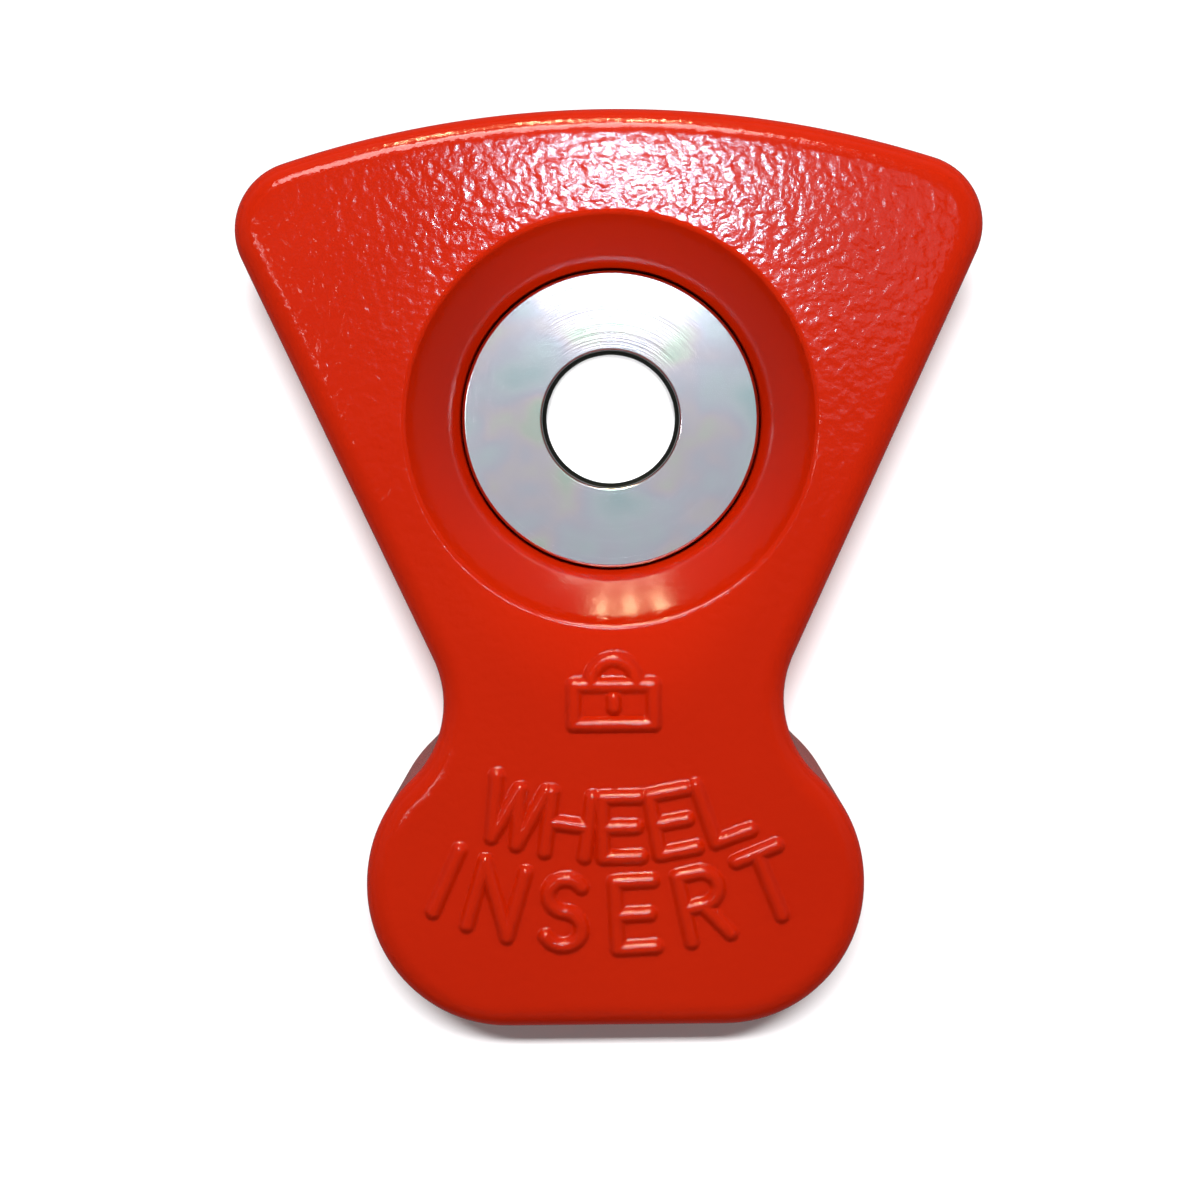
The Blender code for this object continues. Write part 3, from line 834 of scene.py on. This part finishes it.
def makeTurningMarks():
    # fine rings round the z axis of the place that is fed in
    group, given, made = newGroup(
        "turningMarks",
        [("Place", "Vector", None), ("Marks per metre", "Float", 3200.0)],
        [("Height", "Float")])
    nodes, links = group.nodes, group.links
    flat = nodes.new("ShaderNodeVectorMath")
    flat.operation = "MULTIPLY"
    flat.inputs[1].default_value = (1, 1, 0)
    links.new(given.outputs["Place"], flat.inputs[0])
    radius = nodes.new("ShaderNodeVectorMath")
    radius.operation = "LENGTH"
    links.new(flat.outputs[0], radius.inputs[0])
    marks = nodes.new("ShaderNodeTexNoise")
    marks.noise_dimensions = "1D"
    marks.inputs["Detail"].default_value = 3.0
    marks.inputs["Scale"].default_value = 1.0
    across = mathNode(nodes, links, "MULTIPLY", radius.outputs["Value"], given.outputs["Marks per metre"])
    links.new(across, marks.inputs["W"])
    links.new(marks.outputs["Fac"], made.inputs["Height"])
    return group


def makePassivate():
    # the faint colours of a clear passivated zinc layer
    group, given, made = newGroup(
        "passivate",
        [("Place", "Vector", None), ("Metal", "Color", (0.7, 0.72, 0.73, 1)), ("Scale", "Float", 60.0),
         ("Strength", "Float", 0.5)],
        [("Color", "Color")])
    nodes, links = group.nodes, group.links
    noise = noiseNode(nodes, links, given.outputs["Place"], given.outputs["Scale"], 2.5, 0.55)
    ramp = nodes.new("ShaderNodeValToRGB")
    ramp.color_ramp.interpolation = "B_SPLINE"
    tints = (
        (0.28, (0.42, 0.62, 0.66, 1)), (0.40, (0.66, 0.72, 0.78, 1)), (0.48, (0.60, 0.60, 0.74, 1)),
        (0.55, (0.76, 0.62, 0.70, 1)), (0.62, (0.64, 0.74, 0.58, 1)), (0.72, (0.45, 0.66, 0.64, 1)))
    for _ in tints[2:]:
        ramp.color_ramp.elements.new(0.5)
    for element, (position, colour) in zip(ramp.color_ramp.elements, tints):
        element.position = position
        element.color = colour
    links.new(noise, ramp.inputs["Fac"])
    mix = nodes.new("ShaderNodeMix")
    mix.data_type = "RGBA"
    links.new(given.outputs["Strength"], mix.inputs["Factor"])
    links.new(given.outputs["Metal"], mix.inputs["A"])
    links.new(ramp.outputs["Color"], mix.inputs["B"])
    links.new(mix.outputs["Result"], made.inputs["Color"])
    return group


def makeGrain():
    # an even fine grain, for height, roughness and a slight change of colour
    group, given, made = newGroup(
        "grain",
        [("Place", "Vector", None), ("Scale", "Float", 2500.0), ("Colour", "Color", (0.5, 0.5, 0.5, 1)),
         ("Darker", "Float", 0.2), ("Roughness", "Float", 0.4), ("Spread", "Float", 0.15)],
        [("Height", "Float"), ("Color", "Color"), ("Roughness", "Float")])
    nodes, links = group.nodes, group.links
    fine = noiseNode(nodes, links, given.outputs["Place"], given.outputs["Scale"], 3.0, 0.6)
    slow = noiseNode(nodes, links, given.outputs["Place"], 90.0, 3.0, 0.6)
    darker = mathNode(nodes, links, "MULTIPLY", slow, given.outputs["Darker"])
    black = nodes.new("ShaderNodeMix")
    black.data_type = "RGBA"
    links.new(darker, black.inputs["Factor"])
    links.new(given.outputs["Colour"], black.inputs["A"])
    black.inputs["B"].default_value = (0.01, 0.01, 0.01, 1)
    change = mathNode(nodes, links, "SUBTRACT", slow, 0.5)
    spread = mathNode(nodes, links, "MULTIPLY", change, given.outputs["Spread"])
    roughness = mathNode(nodes, links, "ADD", given.outputs["Roughness"], spread)
    links.new(fine, made.inputs["Height"])
    links.new(black.outputs["Result"], made.inputs["Color"])
    links.new(roughness, made.inputs["Roughness"])
    return group


# ---- materials ----

finishes = {
    "redCoat": {
        "colour": (0.53, 0.0165, 0.0006, 1),
        "shade": (0.47, 0.0120, 0.0005, 1),
        "roughness": 0.11,
        "spread": 0.05,
        "specular": 0.18,
        "ripple": 620.0,
        "fineShare": 0.22,
        "rippleDepth": 0.00008,
        "calmShare": 0.35,        # share of the ripple that is left inside the bowl
        "calmDepth": 3.0 * mm,    # how far below the face that holds in full
    },
    "zincPlate": {
        "metal": (0.84, 0.89, 0.92, 1),
        "tint": 0.75,
        "tintScale": 60.0,
        "roughness": 0.16,
        "spread": 0.05,
        "marks": 4200.0,
        "markDepth": 0.000011,
    },
    "hardSteel": {"colour": (0.16, 0.17, 0.16, 1), "edgeTint": (0.12, 0.14, 0.11, 1), "roughness": 0.6,
                  "metallic": 1.0, "grain": 1800.0},
    "darkSteel": {"colour": (0.10, 0.10, 0.11, 1), "roughness": 0.38, "metallic": 1.0, "grain": 2600.0},
    "bronze": {"colour": (0.55, 0.34, 0.15, 1), "roughness": 0.4, "metallic": 1.0, "grain": 2200.0},
    "blackRubber": {"colour": (0.022, 0.022, 0.023, 1), "roughness": 0.75, "metallic": 0.0,
                    "grain": 1500.0},
    "grainDepth": 0.00001,
    "grainDarker": 0.35,
    "grainSpread": 0.2,
}


def newMaterial(name):
    material = bpy.data.materials.new(name)
    material.use_nodes = True
    nodes, links = material.node_tree.nodes, material.node_tree.links
    coordinates = nodes.new("ShaderNodeTexCoord")
    return material, nodes, links, nodes["Principled BSDF"], coordinates.outputs["Object"]


def placeGroup(nodes, links, group, place, **values):
    node = nodes.new("ShaderNodeGroup")
    node.node_tree = group
    links.new(place, node.inputs["Place"])
    for name, value in values.items():
        node.inputs[name.replace("_", " ")].default_value = value
    return node


def bumpInto(nodes, links, shader, height, distance):
    bump = nodes.new("ShaderNodeBump")
    bump.inputs["Distance"].default_value = distance
    bump.inputs["Strength"].default_value = 1.0
    links.new(height, bump.inputs["Height"])
    links.new(bump.outputs["Normal"], shader.inputs["Normal"])


def makeRedCoat(orangePeel):
    values = finishes["redCoat"]
    material, nodes, links, shader, place = newMaterial("redCoat")
    peel = placeGroup(nodes, links, orangePeel, place, Scale=values["ripple"],
                      Fine_share=values["fineShare"])
    mix = nodes.new("ShaderNodeMix")
    mix.data_type = "RGBA"
    mix.inputs["A"].default_value = values["shade"]
    mix.inputs["B"].default_value = values["colour"]
    links.new(peel.outputs["Tone"], mix.inputs["Factor"])
    links.new(mix.outputs["Result"], shader.inputs["Base Color"])
    spread = mathNode(nodes, links, "MULTIPLY", peel.outputs["Tone"], values["spread"])
    roughness = mathNode(nodes, links, "ADD", spread, values["roughness"] - 0.5 * values["spread"])
    links.new(roughness, shader.inputs["Roughness"])
    shader.inputs["Specular IOR Level"].default_value = values["specular"]
    # the coat lies calmer inside the bowl than on the face
    parts = nodes.new("ShaderNodeSeparateXYZ")
    links.new(place, parts.inputs["Vector"])
    share = nodes.new("ShaderNodeMapRange")
    share.inputs["From Min"].default_value = faceZ - values["calmDepth"]
    share.inputs["From Max"].default_value = faceZ
    share.inputs["To Min"].default_value = values["calmShare"]
    links.new(parts.outputs["Z"], share.inputs["Value"])
    height = mathNode(nodes, links, "MULTIPLY", peel.outputs["Height"], share.outputs["Result"])
    bumpInto(nodes, links, shader, height, values["rippleDepth"])
    return material


def makeZincPlate(turningMarks, passivate, grain):
    values = finishes["zincPlate"]
    material, nodes, links, shader, place = newMaterial("zincPlate")
    onAxis = nodes.new("ShaderNodeMapping")
    onAxis.inputs["Location"].default_value = (-boltX, -boltY, 0)
    links.new(place, onAxis.inputs["Vector"])
    marks = placeGroup(nodes, links, turningMarks, onAxis.outputs["Vector"],
                       Marks_per_metre=values["marks"])
    layer = placeGroup(nodes, links, passivate, place, Metal=values["metal"], Scale=values["tintScale"],
                       Strength=values["tint"])
    fine = placeGroup(nodes, links, grain, place, Roughness=values["roughness"], Spread=values["spread"],
                      Darker=0.0)
    links.new(layer.outputs["Color"], fine.inputs["Colour"])
    links.new(fine.outputs["Color"], shader.inputs["Base Color"])
    links.new(fine.outputs["Roughness"], shader.inputs["Roughness"])
    shader.inputs["Metallic"].default_value = 1.0
    bumpInto(nodes, links, shader, marks.outputs["Height"], values["markDepth"])
    return material


def makePlainFinish(name, grain):
    values = finishes[name]
    material, nodes, links, shader, place = newMaterial(name)
    fine = placeGroup(nodes, links, grain, place, Scale=values["grain"], Colour=values["colour"],
                      Darker=finishes["grainDarker"], Roughness=values["roughness"],
                      Spread=finishes["grainSpread"])
    links.new(fine.outputs["Color"], shader.inputs["Base Color"])
    links.new(fine.outputs["Roughness"], shader.inputs["Roughness"])
    shader.inputs["Metallic"].default_value = values["metallic"]
    shader.inputs["Specular Tint"].default_value = values.get("edgeTint", (1, 1, 1, 1))
    bumpInto(nodes, links, shader, fine.outputs["Height"], finishes["grainDepth"])
    return material


# ---- floor, lights and camera ----

white = (1.0, 1.0, 1.0)
studio = {
    "floorSize": 3.0,
    "floorColour": (0.92, 0.92, 0.93, 1),
    # painted shade: the paper's colour as reflections show it, far darker than the lamps leave it
    "floorInReflections": (0.10, 0.10, 0.10, 1),
    "skyOverhead": 0.16,
    "skyHorizon": 0.5,            # towards +y; it falls to nothing towards -y
    "skyLeast": 0.06,
    # place from the bolt's axis at the face, width, height, watts, colour, what it gives and to what;
    # a shine is seen only in reflections, a fill is only soft light
    "panels": {
        "glintPanel": ((0.014, 0.106, 0.70), 0.080, 0.024, 1.4, (0.32, 0.85, 1.0), "shine", "castOnly"),
        "hazePanel": ((0.010, 0.122, 0.70), 0.135, 0.055, 0.6, (0.40, 0.85, 1.0), "shine", "castOnly"),
        "outerPanel": ((0.060, 0.120, 0.71), 0.26, 0.11, 0.15, (0.90, 0.92, 1.0), "shine", "castOnly"),
        "letterPanel": ((-0.06, 0.30, 0.36), 0.30, 0.16, 3.6, (1.0, 0.9, 0.85), "shine", "castOnly"),
        "nearPanel": ((0.0, 0.25, 0.35), 0.25, 0.18, 1.9, white, "fill", "castOnly"),
        "ringPanel": ((0.012, 0.125, 0.70), 0.11, 0.06, 0.30, (0.88, 0.98, 1.0), "both", "ringOnly"),
        "ringCeiling": ((0.0, 0.0, 0.90), 1.2, 1.2, 1.35, (0.95, 0.99, 1.0), "both", "ringOnly"),
        "edgeStrip": ((0.0, 0.75, 0.80), 0.5, 0.06, 2.8, (1.0, 0.85, 0.6), "shine", "allButPaper"),
        "leftStrip": ((-0.35, 0.05, 0.75), 0.02, 0.30, 0.6, (1.0, 0.95, 0.9), "shine", "allButPaper"),
        "backPanel": ((0.0, 0.95, 0.62), 0.9, 0.35, 1.4, (1.0, 0.97, 0.90), "fill", "allButPaper"),
        "leftPanel": ((-0.95, 0.05, 0.58), 0.5, 0.4, 1.9, white, "fill", "allButPaper"),
        "rightPanel": ((0.95, 0.05, 0.58), 0.5, 0.4, 2.0, white, "fill", "allButPaper"),
        "frontPanel": ((0.0, -0.95, 0.55), 0.6, 0.4, 1.3, white, "fill", "allButPaper"),
        "paperLamp": ((0.0, 0.148, 0.70), 0.12, 0.02, 7.0, white, "fill", "paperOnly"),
    },
    "tubes": {"places": (-0.233, -0.085, 0.050), "distance": 0.9, "rise": 0.46, "wide": 0.016,
              "tall": 0.26, "watts": 4.0, "colour": (1.0, 0.80, 0.42)},
    "bowlSpot": {"place": (0.0, -0.30, 0.22), "reach": 0.032, "watts": 3.0},
    "boreSpot": {"reachShare": 0.985, "blend": 0.02, "watts": 9.0},
    "spotRadius": 1.0 * mm,
}
view = {
    "frameWidth": 180.0 * mm,     # width of the picture at the front face
    "distance": 330.0 * mm,
    "centreBelowBolt": 27.15 * mm,
    "centreLeftOfBolt": 1.6 * mm,
    "tiltShare": 0.1,             # the rest of the framing comes from lens shift
    "roll": math.radians(-0.6),
}


def makeFloor():
    toObjectMode()
    bpy.ops.object.select_all(action="DESELECT")
    bpy.ops.mesh.primitive_plane_add(size=studio["floorSize"], location=(0, 0, 0))
    floor = bpy.context.object
    floor.name = "floor"
    paper = bpy.data.materials.new("paper")
    paper.use_nodes = True
    nodes, links = paper.node_tree.nodes, paper.node_tree.links
    shader = nodes["Principled BSDF"]
    shader.inputs["Roughness"].default_value = 0.9
    ray = nodes.new("ShaderNodeLightPath")
    # painted shade: the paper looks dim in every reflection, as if it lay in shade
    mix = nodes.new("ShaderNodeMix")     # dimmer in reflections, so that steep walls keep their own colour
    mix.data_type = "RGBA"
    mix.inputs["A"].default_value = studio["floorColour"]
    mix.inputs["B"].default_value = studio["floorInReflections"]
    links.new(ray.outputs["Is Glossy Ray"], mix.inputs["Factor"])
    links.new(mix.outputs["Result"], shader.inputs["Base Color"])
    floor.data.materials.append(paper)
    return floor


def makeSky():
    # brighter low down towards +y, dim overhead so that the red keeps its depth
    world = bpy.data.worlds.new("studio")
    world.use_nodes = True
    nodes, links = world.node_tree.nodes, world.node_tree.links
    direction = nodes.new("ShaderNodeTexCoord")
    parts = nodes.new("ShaderNodeSeparateXYZ")
    links.new(direction.outputs["Generated"], parts.inputs["Vector"])
    up = mathNode(nodes, links, "MAXIMUM", parts.outputs["Z"], 0.0)
    fromTop = mathNode(nodes, links, "SUBTRACT", 1.0, up)
    low = mathNode(nodes, links, "POWER", fromTop, 2.0)
    halfY = mathNode(nodes, links, "MULTIPLY", parts.outputs["Y"], 0.5)
    behind = mathNode(nodes, links, "ADD", halfY, 0.5)
    both = mathNode(nodes, links, "MULTIPLY", low, behind)
    glow = mathNode(nodes, links, "MULTIPLY", both, studio["skyHorizon"])
    overhead = mathNode(nodes, links, "MULTIPLY", up, studio["skyOverhead"])
    above = mathNode(nodes, links, "ADD", glow, overhead)
    total = mathNode(nodes, links, "ADD", above, studio["skyLeast"])
    links.new(total, nodes["Background"].inputs["Strength"])
    nodes["Background"].inputs["Color"].default_value = (1, 1, 1, 1)
    bpy.context.scene.world = world


def makeLamps(floor, casting, ring):
    bolt = Vector((boltX, boltY, faceZ))
    receivers = {}
    lit = {"paperOnly": floor, "allButPaper": floor, "castOnly": casting, "ringOnly": ring}
    for name, piece in lit.items():
        receivers[name] = bpy.data.collections.new(name)
        receivers[name].objects.link(piece)
    receivers["allButPaper"].collection_objects[0].light_linking.link_state = "EXCLUDE"

    def aimedLamp(name, kind, place, watts):
        data = bpy.data.lights.new(name, kind)
        data.energy = watts
        lamp = bpy.data.objects.new(name, data)
        bpy.context.scene.collection.objects.link(lamp)
        lamp.location = bolt + Vector(place)
        lamp.rotation_euler = (bolt - lamp.location).to_track_quat("-Z", "Y").to_euler()
        return lamp

    def panel(name, place, wide, tall, watts, colour, gives, lights):
        lamp = aimedLamp(name, "AREA", place, watts)
        lamp.data.shape = "RECTANGLE"
        lamp.data.size, lamp.data.size_y = wide, tall
        lamp.data.color = colour
        lamp.visible_glossy = gives != "fill"
        lamp.visible_diffuse = gives != "shine"
        lamp.light_linking.receiver_collection = receivers[lights]

    def spot(name, place, reach, distance, blend, watts):
        lamp = aimedLamp(name, "SPOT", place, watts)
        lamp.data.spot_size = 2 * math.atan(reach / distance)
        lamp.data.spot_blend = blend
        lamp.data.shadow_soft_size = studio["spotRadius"]
        return lamp

    for name, values in studio["panels"].items():
        panel(name, *values)
    tubes = studio["tubes"]
    for number, across in enumerate(tubes["places"], 1):
        panel("tube" + str(number), (across, tubes["distance"], tubes["rise"]), tubes["wide"],
              tubes["tall"], tubes["watts"], tubes["colour"], "shine", "allButPaper")

    # into the bowl's upper wall, which faces away from the other lamps
    values = studio["bowlSpot"]
    distance = Vector(values["place"]).length
    bowlSpot = spot("bowlSpot", values["place"], values["reach"], distance, 1.0, values["watts"])
    bowlSpot.visible_glossy = False
    bowlSpot.light_linking.receiver_collection = receivers["castOnly"]
    # straight down the bore, so the floor seen through it stays bright
    values = studio["boreSpot"]
    spot("boreSpot", (0, 0, view["distance"]), values["reachShare"] * tube["bore"],
         view["distance"] + faceZ, values["blend"], values["watts"])


def makeCamera():
    data = bpy.data.cameras.new("camera")
    camera = bpy.data.objects.new("camera", data)
    bpy.context.scene.collection.objects.link(camera)
    data.sensor_width = 36
    data.lens = data.sensor_width * view["distance"] / view["frameWidth"]
    data.clip_start, data.clip_end = 0.01, 10
    tilt = math.atan(view["tiltShare"] * view["centreBelowBolt"] / view["distance"])
    camera.rotation_mode = "XYZ"
    camera.rotation_euler = (-tilt, 0, view["roll"])
    camera.location = (boltX, boltY, faceZ + view["distance"])
    data.shift_y = -(1 - view["tiltShare"]) * view["centreBelowBolt"] / view["frameWidth"]
    data.shift_x = -view["centreLeftOfBolt"] / view["frameWidth"]
    bpy.context.scene.camera = camera
    bpy.context.scene.view_settings.view_transform = "Standard"


# ---- build ----

makeSky()
floor = makeFloor()
makeCamera()
print("floor and camera set")

orangePeel = makeOrangePeel()
turningMarks = makeTurningMarks()
passivate = makePassivate()
grain = makeGrain()
redCoat = makeRedCoat(orangePeel)
zincPlate = makeZincPlate(turningMarks, passivate, grain)
hardSteel = makePlainFinish("hardSteel", grain)
darkSteel = makePlainFinish("darkSteel", grain)
bronze = makePlainFinish("bronze", grain)
blackRubber = makePlainFinish("blackRubber", grain)
print("materials made")

# piece, the node it stands for, its body, its finish and its slot's name
made = [
    (finishFace(makeCasting()), "body_casting", fixedBody, redCoat, "red_paint"),
    (makeSeatRing(), "seat_ring", spinBody, zincPlate, "zinc_plate"),
    (makeBoreSleeve(), "bore_sleeve", spinBody, hardSteel, "hard_steel"),
    (makeRetainingRing(), "retaining_ring", spinBody, darkSteel, "dark_steel"),
    (makeBush(), "bearing_bush", fixedBody, bronze, "bronze"),
    (makeThrustWasher(), "thrust_washer", fixedBody, bronze, "bronze"),
    (makeBackPlate(), "back_plate", fixedBody, zincPlate, "zinc_plate"),
]
for screw, node in zip(copyTo(makeScrew(), screwNodes), screwNodes):
    made.append((screw, node, fixedBody, darkSteel, "dark_steel"))
for pad, node in zip(copyTo(makePad(), padNodes), padNodes):
    made.append((pad, node, fixedBody, blackRubber, "black_rubber"))
for piece, node, body, material, slotName in made:
    piece.data.materials.clear()
    piece.data.materials.append(material)
    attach(piece, body)
    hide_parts(node)
print("pieces made", len(made))
makeLamps(floor, made[0][0], made[1][0])
print("lamps set")

# flat plates that stay as the CAD has them
keptNodes = {
    "back_gasket": blackRubber,
    "upper_armour_plate": hardSteel,
    "lower_armour_plate": hardSteel,
}
for node, material in keptNodes.items():
    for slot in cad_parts[node].material_slots:
        slot.material = material
print("kept nodes given their finishes", len(keptNodes))
